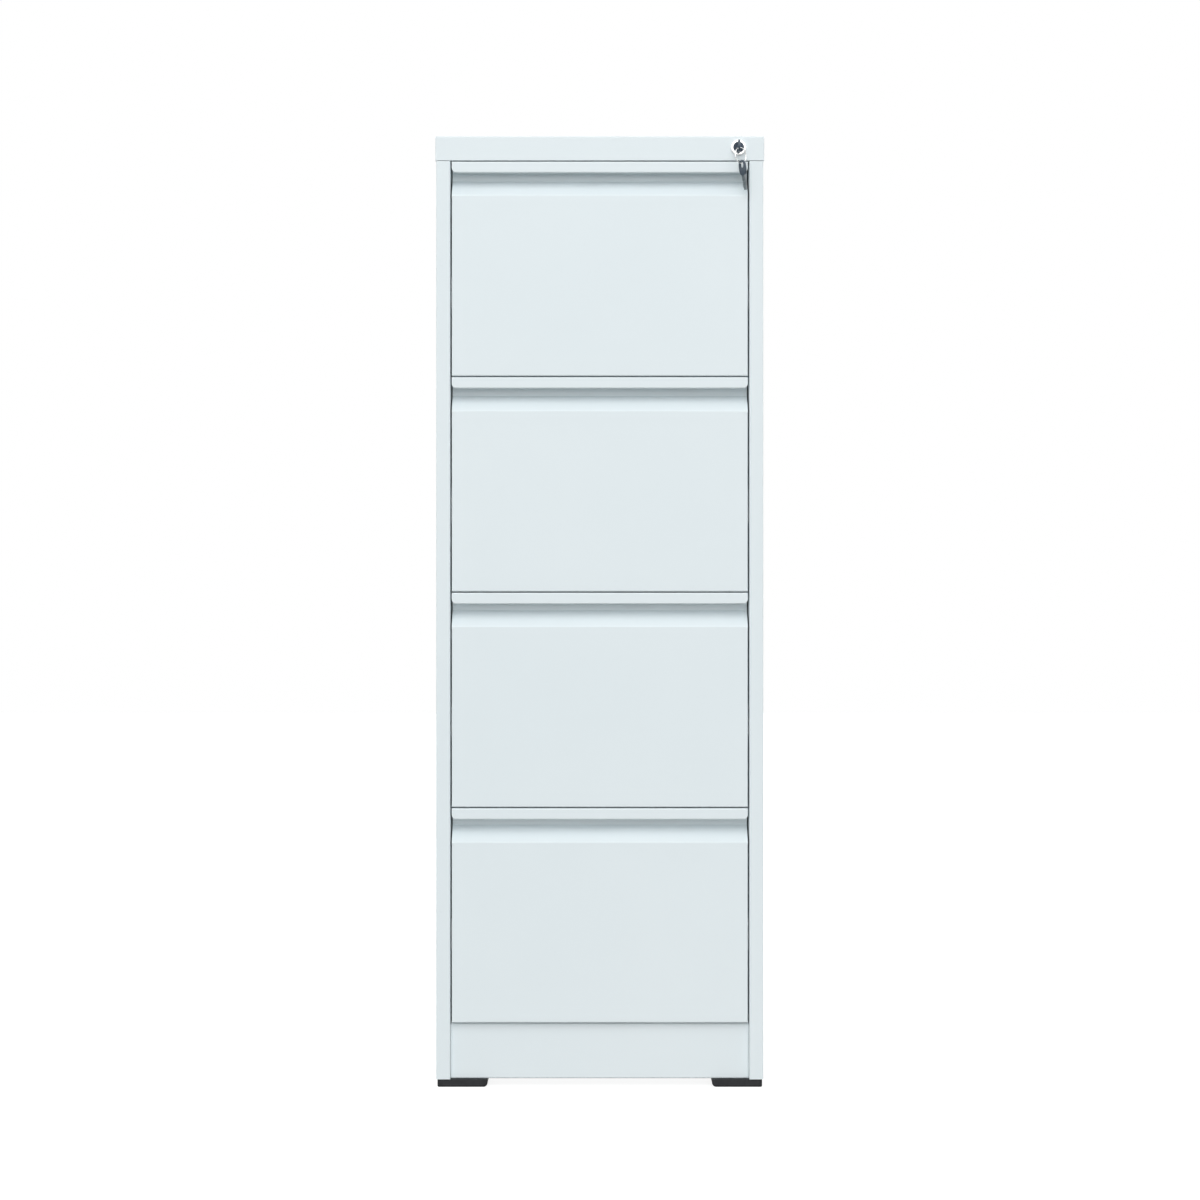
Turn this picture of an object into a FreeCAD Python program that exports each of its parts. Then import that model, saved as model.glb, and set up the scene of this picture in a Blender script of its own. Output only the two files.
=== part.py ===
"""Four-drawer steel filing cabinet, modelled piece by piece as it is folded, slid and locked together.

Millimetres. +Z is up, the drawers open towards -Y, and +X is to the right of someone facing the cabinet.
The origin is on the floor, in the middle of the cabinet and of the keys that hang in front of it.
"""

import FreeCAD, Part
import math
import os

V = FreeCAD.Vector

# Overall size
WIDTH = 460.0
DEPTH = 620.0
HEIGHT = 1330.0
SHEET = 1.0                 # thickness of the folded steel
BEND = 0.8                  # inside radius of a fold

# Heights, from the floor up
FOOT_H = 11.0
PLINTH_H = 79.0
DRAWERS = 4
PITCH = 301.5               # one drawer to the next
GAP = 1.5                   # between one drawer front and what is above it
CAP_H = HEIGHT - FOOT_H - PLINTH_H - DRAWERS * PITCH

# Widths, each from the middle plane
BODY_HALF = 228.8           # outside of a side panel, just inside the cap
STILE_W = 19.8              # the side panel's front return
STILE_IN = BODY_HALF - STILE_W
STILE_RETURN = 16.0         # how far the stile's inner edge is turned back
REAR_RETURN = 15.0
SHEET_PLAY = 0.3            # between two sheets that are not joined
CAP_SEAM = 0.8              # between the cap and a side panel
WELD_PLAY = 0.1             # between two sheets that are spot-welded
FRONT_HALF = 207.0          # a drawer front, with a thin gap at each stile
SLIDE_SPACE = 12.7          # room for a telescopic slide
TRAY_HALF = STILE_IN - SLIDE_SPACE

# Back, cap, bottom and plinth
BACK_HALF = 226.5
BACK_PLAY = 0.2             # between the back and the rear returns
BACK_BELOW_TOP = 10.0
BACK_SCREW_ROWS = 4
BACK_SCREW_X, CAP_SCREW_X = 220.0, 150.0
BACK_SCREW_LOW, BACK_SCREW_SPAN = 60.0, 1190.0
CAP_SCREW_Z = HEIGHT - CAP_H + 12.0
CAP_FRONT_RETURN = 14.0
CAP_RETURN_IN = 218.0       # inner edge of the cap's side returns
CAP_RETURN_END = 3.0        # ahead of the cabinet's back
PAN_TOP = 45.0
PAN_FRONT, PAN_REAR = 26.3, 2.3
PLINTH_FRONT = 8.0          # behind the cabinet's front
PLINTH_LOW_RETURN, PLINTH_TOP_RETURN = 15.0, 20.0

# Feet
FOOT_X0, FOOT_X1, FOOT_HALF_D = 157.0, 227.0, 30.0
FOOT_SCREW_X, FOOT_INSET = 192.0, 31.0
FOOT_END_ROUND, FOOT_ROUND = 6.0, 2.5
FOOT_HEAD_R, FOOT_HEAD_Z0, FOOT_HEAD_Z1 = 5.5, 3.5, 6.0
FOOT_POCKET_R, FOOT_SCREW_R, FOOT_SCREW_TOP = 6.0, 2.5, 20.0

# Drawer front, measured up from its lower edge and back from its face
FRONT_H = PITCH - GAP
FRONT_T = 24.0              # how thick the folded front is
LIP_Z = 284.25              # lower edge of the pulling lip
LIP_RETURN = 6.0
LIP_CORNER = 7.0
GROOVE_Z = 275.0            # where the groove's back wall turns into the slope
SLOPE_Z = 252.0             # where the slope meets the face
PANEL_EDGE = 1.5            # rounding of the face's upright edges
FLANGE_TOP = 250.0
SCREW_HEIGHTS = (30.2, 210.2)
LOW_RETURN_TOP = 14.0
SCREW_SET_BACK = 13.0
FRONT_SCREW_R, FRONT_SCREW_L = 1.7, 4.5
FRONT_HEAD_R, FRONT_HEAD_H = 2.5, 0.9

# Tray
TRAY_Z = 3.0
TRAY_WALL_TOP = 243.0
TRAY_LENGTH = 560.0
WING_HALF = FRONT_HALF - SHEET - 0.1
WING_BOTTOM, WING_TOP = 15.0, 245.0
TAB_FRONT, TAB_BOTTOM, TAB_TOP = 8.0, 20.0, 240.0
RAIL_T, RAIL_BOTTOM, RAIL_TOP = 2.0, 236.2, 250.0
RAIL_ROUND = 0.6
BACK_SIDE_FOLD = 13.0

# Telescopic slides
SLIDE_LENGTH = 550.0
SLIDE_Z = 120.0             # above the drawer front's lower edge
SLIDE_START = 26.0          # behind the cabinet's front
SLIDE_STEEL = 1.2
OUTER_HALF_H, MIDDLE_HALF_H, INNER_HALF_H = 22.8, 18.0, 12.8
OUTER_LIP, MIDDLE_LIP = 3.0, 2.5
OUTER_OPEN, MIDDLE_OPEN, INNER_OPEN = 2.7, 3.6, 6.5
MIDDLE_WEB = 3.5            # from the uprights to the back of the middle member
SLIDE_BEND = 0.6
SLIDE_SCREW_IN = 5.0        # from a slide's end to its screw

# Uprights, which carry the slides
UPRIGHT_D = 40.0
UPRIGHT_FRONT_AT = 17.0     # behind the cabinet's front
UPRIGHT_REAR_AT = 20.0      # ahead of the cabinet's back
UPRIGHT_Z0, UPRIGHT_Z1 = 46.0, 1290.0

# Wafer-head screws
SCREW_HEAD_R, SCREW_HEAD_H, SCREW_R, SCREW_L = 4.5, 1.2, 2.0, 6.0
HOLE_PLAY = 0.1

# Lock and keys
LOCK_X = 194.0
LOCK_Z = HEIGHT - 16.0
BEZEL_R, BEZEL_H = 11.0, 3.0
BARREL_R, BARREL_L = 9.4, 22.0
PLUG_R, PLUG_RECESS = 7.0, 0.8
FIT = 0.05                  # radial play of the turning plug
BEZEL_ROUND = 1.6
NUT_CORNER_R, NUT_T = 13.5, 4.0
SHOULDER_GAP, SHOULDER_L = 0.3, 2.0
TAIL_R = 4.0
CAM_AT, CAM_T = 34.0, 3.0
CAM_PIN_REACH, CAM_PIN_R, CAM_PIN_L = 10.0, 2.5, 6.0
CAM_HUB_R, CAM_PLAY = 6.5, 0.02
CAM_SCREW_HEAD_R, CAM_SCREW_HEAD_H = 4.5, 1.3
CAM_SCREW_R, CAM_SCREW_L = 1.5, 5.0
CAM_REST_DEG = -45.0        # the pin swings from here to the same angle above
BAR_X0, BAR_X1 = 213.0, 216.0
BAR_Y0, BAR_Y1 = 36.0, 50.0
FINGER_Y0, FINGER_Y1 = 41.0, 45.0
YOKE_Y0, YOKE_Y1 = 42.0, 44.0
YOKE_IN, YOKE_WALL = 1.5, 3.0
PIN_PLAY = 0.5
BAR_TAIL = 20.0             # the bar goes on below its last finger
GUIDE_HALF_H, GUIDE_WALL, GUIDE_PLAY = 6.0, 1.0, 0.5
CATCH_Y = 49.0
CATCH_REACH, CATCH_T, CATCH_L = 7.2, 1.2, 20.0
BAR_LIFT = 2 * CAM_PIN_REACH * math.sin(math.radians(-CAM_REST_DEG))
CATCH_Z = 190.0             # lower edge of a drawer's catch
CATCH_H = 12.0
FINGER_H = 14.0
FINGER_PLAY = 3.0           # between a lowered finger and its catch
BLADE_T, BLADE_W, BLADE_L = 2.0, 8.2, 20.0
KEYWAY_PLAY = 0.3
KEY_CUTS, CUT_LEAST, CUT_STEP = 5, 0.7, 0.5
KEY_GROOVE_DEEP, KEY_GROOVE_LOW, KEY_GROOVE_HIGH = 0.5, -0.9, 0.6
TIP_R_MORE = 3.0
HEAD_T, HEAD_W, HEAD_L = 3.0, 16.5, 22.0
HEAD_CORNER, HEAD_SOFT = 8.0, 0.7
SLOT_AT, SLOT_L, SLOT_W = 15.0, 9.0, 11.0
TANG_L = 6.0
RING_R, RING_WIRE_R = 11.0, 0.8
RING_CLEAR = 0.9            # between the wire and the corners of the strip it hangs on
RING_PLAY = 1.35            # room for the wire where the spare key hangs on it
RING_TURN_DEG = 45.0        # how far the ring has turned out of the front plane
RING_SWAY_DEG = 25.0        # its middle hangs this far right of straight down
RING_BACK = 3.6             # and nearer to the cabinet than the middle of the key's slot
SPARE_TURN_DEG = 64.0       # the spare key hangs nearly edge-on to the front
SPARE_LEAN_DEG = 8.0
SPARE_ROUND_DEG = 15.0      # how far round the ring from its lowest point

# Where the cabinet's front and back planes lie, with the key that stands out of the lock counted in
KEY_REACH = BEZEL_H + HEAD_L
FRONT = -(DEPTH - KEY_REACH) / 2
REAR = FRONT + DEPTH - SCREW_HEAD_H


# Helpers

def box(x0, x1, y0, y1, z0, z1):
    """A block between two corners."""
    return Part.makeBox(x1 - x0, y1 - y0, z1 - z0, V(x0, y0, z0))


def rod(radius, start, end):
    """A round bar between two points."""
    return Part.makeCylinder(radius, (end - start).Length, start, end - start)


def mirrored(shape):
    """The left-hand twin of a right-hand piece."""
    return shape.mirror(V(0, 0, 0), V(1, 0, 0))


def pair(shape):
    """A right-hand piece and its left-hand twin, as two solids."""
    return Part.makeCompound([shape, mirrored(shape)])


def joined(shapes):
    """Several shapes fused into one clean solid."""
    return shapes[0].multiFuse(shapes[1:]).removeSplitter()


def rounded(shape, radius, choose):
    """The shape with a fillet on each edge that the test picks by its middle point and direction."""
    picked = []
    for edge in shape.Edges:
        if edge.Curve.TypeId == "Part::GeomLine" and choose(edge.CenterOfMass, edge.tangentAt(0)):
            picked.append(edge)
    return shape.makeFillet(radius, picked)


def directions(path):
    """Unit directions of a path's straight runs."""
    runs = []
    for a, b in zip(path, path[1:]):
        length = math.dist(a, b)
        runs.append(((b[0] - a[0]) / length, (b[1] - a[1]) / length))
    return runs


def beside(path, distance):
    """The corners of the line that keeps a distance to the left of a path."""
    runs = directions(path)
    befores = [runs[0]] + runs
    afters = runs + [runs[-1]]
    corners = []
    for point, before, after in zip(path, befores, afters):
        scale = distance / (1 + before[0] * after[0] + before[1] * after[1])
        corners.append((point[0] - (before[1] + after[1]) * scale,
                        point[1] + (before[0] + after[0]) * scale))
    return corners


def soft_edges(corners, radii, place):
    """Lines through the corners, each corner rounded to its own radius."""
    points = [place(*corner) for corner in corners]
    edges = []
    here = points[0]
    for before, corner, after, radius in zip(points, points[1:], points[2:], radii):
        back = (before - corner).normalize()
        ahead = (after - corner).normalize()
        half = back.getAngle(ahead) / 2
        reach = radius / math.tan(half)
        start = corner + back * reach
        end = corner + ahead * reach
        crown = corner + (back + ahead).normalize() * (radius / math.sin(half) - radius)
        edges.append(Part.makeLine(here, start))
        edges.append(Part.Arc(start, crown, end).toShape())
        here = end
    edges.append(Part.makeLine(here, points[-1]))
    return edges


PLACES = {
    "x": lambda a, b: V(0, a, b),
    "y": lambda a, b: V(a, 0, b),
    "z": lambda a, b: V(a, b, 0),
}
ALONG = {"x": V(1, 0, 0), "y": V(0, 1, 0), "z": V(0, 0, 1)}


def folded(path, axis, start, end, side=1, bend=BEND, steel=SHEET):
    """Sheet folded along a path and pushed along an axis; it lies left (1) or right (-1) of the path."""
    runs = directions(path)
    near, far = [], []
    for before, after in zip(runs, runs[1:]):
        towards_sheet = side * (before[0] * after[1] - before[1] * after[0]) > 0
        near.append(bend + steel if towards_sheet else bend)
        far.append(bend if towards_sheet else bend + steel)
    place = PLACES[axis]
    other = beside(path, side * steel)
    edges = soft_edges(path, near, place) + soft_edges(other, far, place)
    edges.append(Part.makeLine(place(*path[0]), place(*other[0])))
    edges.append(Part.makeLine(place(*path[-1]), place(*other[-1])))
    face = Part.Face(Part.Wire(Part.__sortEdges__(edges)))
    face.translate(ALONG[axis] * start)
    return face.extrude(ALONG[axis] * (end - start))


def drawer_bottom(number):
    """Height of a drawer front's lower edge; drawer 1 is the top one."""
    return HEIGHT - CAP_H - PITCH * number


def wafer_screw(under_head, towards):
    """A low-headed screw; its head lies on the surface at a point and its thread goes the given way."""
    head = rod(SCREW_HEAD_R, under_head - towards * SCREW_HEAD_H, under_head)
    thread = rod(SCREW_R, under_head, under_head + towards * SCREW_L)
    return joined([head, thread])


def clearance_holes(screws):
    """Rods a little larger than the threads, to cut through whatever the screws pass."""
    holes = []
    for under_head, towards in screws:
        holes.append(rod(SCREW_R + HOLE_PLAY, under_head - towards * SHEET, under_head + towards * SCREW_L))
    return Part.makeCompound(holes)


def slide_screws():
    """Screws that hold the outer slide members to the uprights."""
    screws = []
    for number in range(1, DRAWERS + 1):
        height = drawer_bottom(number) + SLIDE_Z
        for y in (FRONT + SLIDE_START + SLIDE_SCREW_IN, REAR - UPRIGHT_REAR_AT - UPRIGHT_D + SLIDE_SCREW_IN):
            for sign in (1, -1):
                screws.append((V(sign * (STILE_IN - SLIDE_STEEL), y, height), V(sign, 0, 0)))
    return screws


def back_screws():
    """Screws through the side panels' rear returns and the cap's rear skirt into the back panel."""
    screws = []
    for row in range(BACK_SCREW_ROWS):
        height = BACK_SCREW_LOW + BACK_SCREW_SPAN * row / (BACK_SCREW_ROWS - 1)
        for x in (-BACK_SCREW_X, BACK_SCREW_X):
            screws.append((V(x, REAR, height), V(0, -1, 0)))
    for x in (-CAP_SCREW_X, 0, CAP_SCREW_X):
        screws.append((V(x, REAR, CAP_SCREW_Z), V(0, -1, 0)))
    return screws


# Carcass

def side_panel():
    """The right side: stile with its inner return, the wall, and the rear return, from one sheet."""
    path = [(STILE_IN, FRONT + STILE_RETURN), (STILE_IN, FRONT), (BODY_HALF, FRONT),
            (BODY_HALF, REAR), (BODY_HALF - REAR_RETURN, REAR)]
    panel = folded(path, "z", FOOT_H, HEIGHT - CAP_H - CAP_SEAM)
    return panel.cut(clearance_holes(back_screws()))


def back_panel():
    """A flat sheet just inside the rear returns."""
    behind = REAR - SHEET - BACK_PLAY
    panel = box(-BACK_HALF, BACK_HALF, behind - SHEET, behind, FOOT_H + 2 * SHEET, HEIGHT - BACK_BELOW_TOP)
    return panel.cut(clearance_holes(back_screws()))


def top_cap():
    """A shallow lid: top, four skirts, and returns at the front and sides, with the lock's hole."""
    outside = WIDTH / 2
    low = HEIGHT - CAP_H
    shell = box(-outside, outside, FRONT, REAR, low, HEIGHT)

    def outer_edge(middle, along):
        return abs(along.z) > 0.9 or middle.z > HEIGHT - 0.1

    shell = rounded(shell, BEND + SHEET, outer_edge)
    inside = outside - SHEET
    hollow = box(-inside, inside, FRONT + SHEET, REAR - SHEET, low - 1, HEIGHT - SHEET)
    shell = shell.cut(hollow)
    front_return = box(-inside, inside, FRONT + SHEET / 2, FRONT + CAP_FRONT_RETURN, low, low + SHEET)
    side_return = box(CAP_RETURN_IN, inside + SHEET / 2, FRONT + CAP_FRONT_RETURN - SHEET,
                      REAR - CAP_RETURN_END, low, low + SHEET)
    shell = joined([shell, front_return, side_return, mirrored(side_return)])
    hole = rod(BARREL_R + HOLE_PLAY, V(LOCK_X, FRONT - 1, LOCK_Z), V(LOCK_X, FRONT + 2, LOCK_Z))
    return shell.cut(hole).cut(clearance_holes(back_screws()))


def bottom_pan():
    """The floor of the carcass, turned up along both sides."""
    half = BODY_HALF - SHEET - WELD_PLAY
    path = [(half, PAN_TOP), (half, FOOT_H), (-half, FOOT_H), (-half, PAN_TOP)]
    pan = folded(path, "y", FRONT + PAN_FRONT, REAR - PAN_REAR, side=-1)
    for x, y in foot_centres():
        pan = pan.cut(rod(FOOT_SCREW_R + HOLE_PLAY, V(x, y, 0), V(x, y, FOOT_SCREW_TOP)))
    return pan


def plinth_panel():
    """The recessed strip under the bottom drawer, turned back at both edges."""
    face = FRONT + PLINTH_FRONT
    top = FOOT_H + PLINTH_H - GAP
    path = [(face + PLINTH_LOW_RETURN, FOOT_H), (face, FOOT_H), (face, top), (face + PLINTH_TOP_RETURN, top)]
    return folded(path, "x", -STILE_IN + SHEET_PLAY, STILE_IN - SHEET_PLAY, side=-1)


def upright(y0):
    """A right-hand post: a channel whose web faces the drawers."""
    foot = BODY_HALF - SHEET - WELD_PLAY
    path = [(foot, y0), (STILE_IN, y0), (STILE_IN, y0 + UPRIGHT_D), (foot, y0 + UPRIGHT_D)]
    post = folded(path, "z", UPRIGHT_Z0, UPRIGHT_Z1, side=-1)
    return post.cut(clearance_holes(slide_screws()))


def lock_upright():
    """The front right post, with a slot for each finger of the lock bar."""
    post = upright(FRONT + UPRIGHT_FRONT_AT)
    for number in range(1, DRAWERS + 1):
        low = finger_low(number)
        slot = box(STILE_IN - 1, STILE_IN + 2, FRONT + FINGER_Y0 - 1, FRONT + FINGER_Y1 + 1,
                   low - 1, low + FINGER_H + BAR_LIFT + 1)
        post = post.cut(slot)
    return post


def foot_centres():
    """Where the four feet are screwed on."""
    centres = []
    for x in (FOOT_SCREW_X, -FOOT_SCREW_X):
        for y in (FRONT + FOOT_INSET, REAR - FOOT_INSET):
            centres.append((x, y))
    return centres


def foot(centre_y):
    """A right-hand moulded foot, rounded underneath and sloped at its inner end."""
    pad = box(FOOT_X0, FOOT_X1, centre_y - FOOT_HALF_D, centre_y + FOOT_HALF_D, 0, FOOT_H)

    def inner_end(middle, along):
        return middle.z < SHEET / 2 and middle.x < FOOT_X0 + SHEET

    def underside(middle, along):
        return middle.z < SHEET / 2 and middle.x > FOOT_X0 + 2 * FOOT_END_ROUND

    pad = rounded(pad, FOOT_END_ROUND, inner_end)
    pad = rounded(pad, FOOT_ROUND, underside)
    low, rim, top = (V(FOOT_SCREW_X, centre_y, height) for height in (-1, FOOT_HEAD_Z1, FOOT_SCREW_TOP))
    return pad.cut(rod(FOOT_POCKET_R, low, rim)).cut(rod(FOOT_SCREW_R + HOLE_PLAY, low, top))


def foot_screws():
    """One screw up through each foot, with its head in the foot's pocket."""
    screws = []
    for x, y in foot_centres():
        head = rod(FOOT_HEAD_R, V(x, y, FOOT_HEAD_Z0), V(x, y, FOOT_HEAD_Z1))
        screws.append(joined([head, rod(FOOT_SCREW_R, V(x, y, FOOT_HEAD_Z1), V(x, y, FOOT_SCREW_TOP))]))
    return Part.makeCompound(screws)


# Slides, drawn for the right-hand side

def channel(inner_x, web_x, half_height, lip, height):
    """A slide member with its web at one side and lips that hold the balls."""
    path = [(inner_x, -half_height + lip), (inner_x, -half_height), (web_x, -half_height),
            (web_x, half_height), (inner_x, half_height), (inner_x, half_height - lip)]
    raised = [(x, z + height) for x, z in path]
    start = FRONT + SLIDE_START
    return folded(raised, "y", start, start + SLIDE_LENGTH, bend=SLIDE_BEND, steel=SLIDE_STEEL)


def slide_outer(number):
    """The fixed members of one drawer's slides."""
    height = drawer_bottom(number) + SLIDE_Z
    member = channel(TRAY_HALF + OUTER_OPEN, STILE_IN, OUTER_HALF_H, OUTER_LIP, height)
    return pair(member).cut(clearance_holes(slide_screws()))


def slide_middle(number):
    """The members that travel half as far as the drawer."""
    return pair(channel(TRAY_HALF + MIDDLE_OPEN, STILE_IN - MIDDLE_WEB, MIDDLE_HALF_H, MIDDLE_LIP,
                        drawer_bottom(number) + SLIDE_Z))


def slide_inner(number):
    """The members on the drawer's own sides."""
    height = drawer_bottom(number) + SLIDE_Z
    top, low = height + INNER_HALF_H, height - INNER_HALF_H
    reach = TRAY_HALF + INNER_OPEN
    path = [(reach, top), (TRAY_HALF, top), (TRAY_HALF, low), (reach, low)]
    start = FRONT + SLIDE_START
    return pair(folded(path, "y", start, start + SLIDE_LENGTH, bend=SLIDE_BEND, steel=SLIDE_STEEL))


# Drawers

def front_screw_places(number):
    """Where the front is fixed to the tray: two places at each side."""
    places = []
    for height in SCREW_HEIGHTS:
        places.append(V(FRONT_HALF, FRONT + SCREW_SET_BACK, drawer_bottom(number) + height))
    return places


def front_holes(number):
    """Right-hand holes for those screws."""
    radius = FRONT_SCREW_R + HOLE_PLAY
    return [rod(radius, place - V(FRONT_SCREW_L, 0, 0), place + V(SHEET, 0, 0))
            for place in front_screw_places(number)]


def drawer_front(number):
    """One sheet: pulling lip, top, groove, sloping entry, face and lower return, with side flanges."""
    low = drawer_bottom(number)
    profile = [(LIP_RETURN, LIP_Z), (0, LIP_Z), (0, FRONT_H), (FRONT_T, FRONT_H), (FRONT_T, GROOVE_Z),
               (SHEET, SLOPE_Z), (SHEET, SHEET), (FRONT_T - SHEET, SHEET), (FRONT_T - SHEET, LOW_RETURN_TOP)]
    path = [(FRONT + back, low + up) for back, up in profile]
    sheet = folded(path, "x", -FRONT_HALF, FRONT_HALF, side=-1)
    flange_low, flange_top = low + BEND + SHEET, low + FLANGE_TOP
    strip = box(FRONT_HALF - 3, FRONT_HALF + 1, FRONT - 1, FRONT + 3, flange_low, flange_top)
    corner_path = [(FRONT_HALF - 4, FRONT), (FRONT_HALF, FRONT), (FRONT_HALF, FRONT + FRONT_T)]
    flange = folded(corner_path, "z", flange_low, flange_top, bend=PANEL_EDGE - SHEET)
    front = joined([sheet.cut(pair(strip)), flange, mirrored(flange)])
    centre_x, centre_z = FRONT_HALF - LIP_CORNER, low + LIP_Z + LIP_CORNER
    corner = box(centre_x, FRONT_HALF + 1, FRONT - 1, FRONT + LIP_RETURN + 1, low + LIP_Z - 1, centre_z)
    keep = rod(LIP_CORNER, V(centre_x, FRONT - 1, centre_z), V(centre_x, FRONT + LIP_RETURN + 1, centre_z))
    corner = corner.cut(keep)
    holes = Part.makeCompound(front_holes(number))
    return front.cut(pair(corner)).cut(pair(holes))


def drawer_tray(number):
    """Floor and sides from one sheet; the front wall, which holds the front, and the catch are welded on."""
    low = drawer_bottom(number)
    start = FRONT + FRONT_T
    path = [(-TRAY_HALF, low + TRAY_WALL_TOP), (-TRAY_HALF, low + TRAY_Z),
            (TRAY_HALF, low + TRAY_Z), (TRAY_HALF, low + TRAY_WALL_TOP)]
    trough = folded(path, "y", start + SHEET, start + TRAY_LENGTH)
    return Part.makeCompound([trough, tray_front_wall(number), lock_catch(number)])


def tray_front_wall(number):
    """A sheet across the front of the tray, wider above, with a tab inside each of the front's flanges."""
    low = drawer_bottom(number)
    start = FRONT + FRONT_T
    wide = box(-WING_HALF, WING_HALF, start, start + SHEET, low + WING_BOTTOM, low + WING_TOP)
    narrow = box(-TRAY_HALF, TRAY_HALF, start, start + SHEET, low + TRAY_Z, low + WING_BOTTOM)
    tab = box(WING_HALF - SHEET, WING_HALF, FRONT + TAB_FRONT, start + SHEET, low + TAB_BOTTOM, low + TAB_TOP)
    wall = joined([wide, narrow, tab, mirrored(tab)])
    return wall.cut(pair(Part.makeCompound(front_holes(number))))


def lock_catch(number):
    """The angle welded to the tray's side, which a raised finger stops."""
    front = FRONT + CATCH_Y
    low = drawer_bottom(number) + CATCH_Z
    top = low + CATCH_H
    stop = box(TRAY_HALF, TRAY_HALF + CATCH_REACH, front, front + CATCH_T, low, top)
    leaf = box(TRAY_HALF, TRAY_HALF + CATCH_T, front, front + CATCH_L, low, top)
    return joined([stop, leaf])


def drawer_back(number):
    """The rear wall, turned forward inside both sides of the tray."""
    low = drawer_bottom(number)
    half = TRAY_HALF - SHEET - WELD_PLAY
    rear = FRONT + FRONT_T + TRAY_LENGTH - SHEET
    path = [(-half, rear - BACK_SIDE_FOLD), (-half, rear), (half, rear), (half, rear - BACK_SIDE_FOLD)]
    return folded(path, "z", low + TRAY_Z + SHEET + BEND, low + RAIL_BOTTOM - BACK_PLAY, side=-1)


def file_rails(number):
    """The two flat rails that hanging files hook over, welded inside the tray's sides."""
    low = drawer_bottom(number)
    wall = TRAY_HALF - SHEET
    rail = box(wall - RAIL_T, wall, FRONT + FRONT_T + SHEET, FRONT + FRONT_T + TRAY_LENGTH - SHEET,
               low + RAIL_BOTTOM, low + RAIL_TOP)

    def top_edge(middle, along):
        return abs(along.y) > 0.9 and middle.z > low + RAIL_TOP - 0.1

    return pair(rounded(rail, RAIL_ROUND, top_edge))


def drawer_screws(number):
    """Four small screws whose heads show in the gaps beside a drawer front."""
    screws = []
    for place in front_screw_places(number):
        head = rounded_disc(place, FRONT_HEAD_R, FRONT_HEAD_H)
        screws.append(joined([head, rod(FRONT_SCREW_R, place, place - V(FRONT_SCREW_L, 0, 0))]))
    return pair(Part.makeCompound(screws))


def rounded_disc(place, radius, height):
    """A screw head on a surface that faces +X, domed at its rim."""
    disc = rod(radius, place, place + V(height, 0, 0))
    rim = [edge for edge in disc.Edges if edge.CenterOfMass.x > place.x + height / 2
           and edge.Curve.TypeId == "Part::GeomCircle"]
    return disc.makeFillet(height * 0.6, rim)


# Lock

def at_lock(behind):
    """A point on the lock's axis, a distance behind the cabinet's front plane."""
    return V(LOCK_X, FRONT + behind, LOCK_Z)


def lock_housing():
    """The fixed barrel with its bright collar."""
    collar = rod(BEZEL_R, at_lock(-BEZEL_H), at_lock(0))
    rim = [edge for edge in collar.Edges if edge.Curve.TypeId == "Part::GeomCircle"
           and edge.CenterOfMass.y < FRONT - BEZEL_H / 2]
    collar = collar.makeFillet(BEZEL_ROUND, rim)
    barrel = rod(BARREL_R, at_lock(-BEZEL_H / 2), at_lock(BARREL_L))
    bore = rod(PLUG_R + FIT, at_lock(-BEZEL_H - 1), at_lock(BARREL_L + 1))
    return joined([collar, barrel]).cut(bore)


def lock_nut():
    """The hexagon nut that clamps the barrel to the cap's front skirt."""
    corners = []
    for step in range(7):
        angle = math.radians(60 * step)
        corners.append(at_lock(SHEET) + V(math.cos(angle), 0, math.sin(angle)) * NUT_CORNER_R)
    nut = Part.Face(Part.makePolygon(corners)).extrude(V(0, NUT_T, 0))
    return nut.cut(rod(BARREL_R + HOLE_PLAY, at_lock(0), at_lock(2 * NUT_T)))


def lock_plug():
    """The turning core: keyway, shoulder behind the barrel, and the tail that carries the cam."""
    behind = BARREL_L + SHOULDER_GAP
    core = rod(PLUG_R, at_lock(-BEZEL_H + PLUG_RECESS), at_lock(behind))
    shoulder = rod(BARREL_R, at_lock(behind), at_lock(behind + SHOULDER_L))
    tail = rod(TAIL_R, at_lock(BARREL_L), at_lock(CAM_AT + CAM_T))
    plug = joined([core, shoulder, tail])
    half_t = BLADE_T / 2 + KEYWAY_PLAY
    half_w = BLADE_W / 2 + KEYWAY_PLAY
    keyway = box(LOCK_X - half_t, LOCK_X + half_t, FRONT - BEZEL_H - 1, FRONT - BEZEL_H + BLADE_L + 1,
                 LOCK_Z - half_w, LOCK_Z + half_w)
    end = CAM_AT + CAM_T
    hole = rod(CAM_SCREW_R + HOLE_PLAY, at_lock(end - CAM_SCREW_L - 1), at_lock(end + 1))
    return plug.cut(keyway).cut(hole)


def cam_pin_centre(behind):
    """The pin's centre with the lock open."""
    angle = math.radians(CAM_REST_DEG)
    return at_lock(behind) + V(CAM_PIN_REACH * math.cos(angle), 0, CAM_PIN_REACH * math.sin(angle))


def lock_cam():
    """A plate on the plug's tail with a pin that lifts the lock bar."""
    hub = rod(CAM_HUB_R, at_lock(CAM_AT), at_lock(CAM_AT + CAM_T))
    eye = rod(TAIL_R, cam_pin_centre(CAM_AT), cam_pin_centre(CAM_AT + CAM_T))
    arm = box(0, CAM_PIN_REACH, 0, CAM_T, -TAIL_R, TAIL_R)
    arm.rotate(V(0, 0, 0), V(0, 1, 0), -CAM_REST_DEG)
    arm.translate(at_lock(CAM_AT))
    pin = rod(CAM_PIN_R, cam_pin_centre(CAM_AT), cam_pin_centre(CAM_AT + CAM_T + CAM_PIN_L))
    hole = rod(TAIL_R + CAM_PLAY, at_lock(CAM_AT - 1), at_lock(CAM_AT + CAM_T + 1))
    return joined([hub, eye, arm, pin]).cut(hole)


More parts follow.
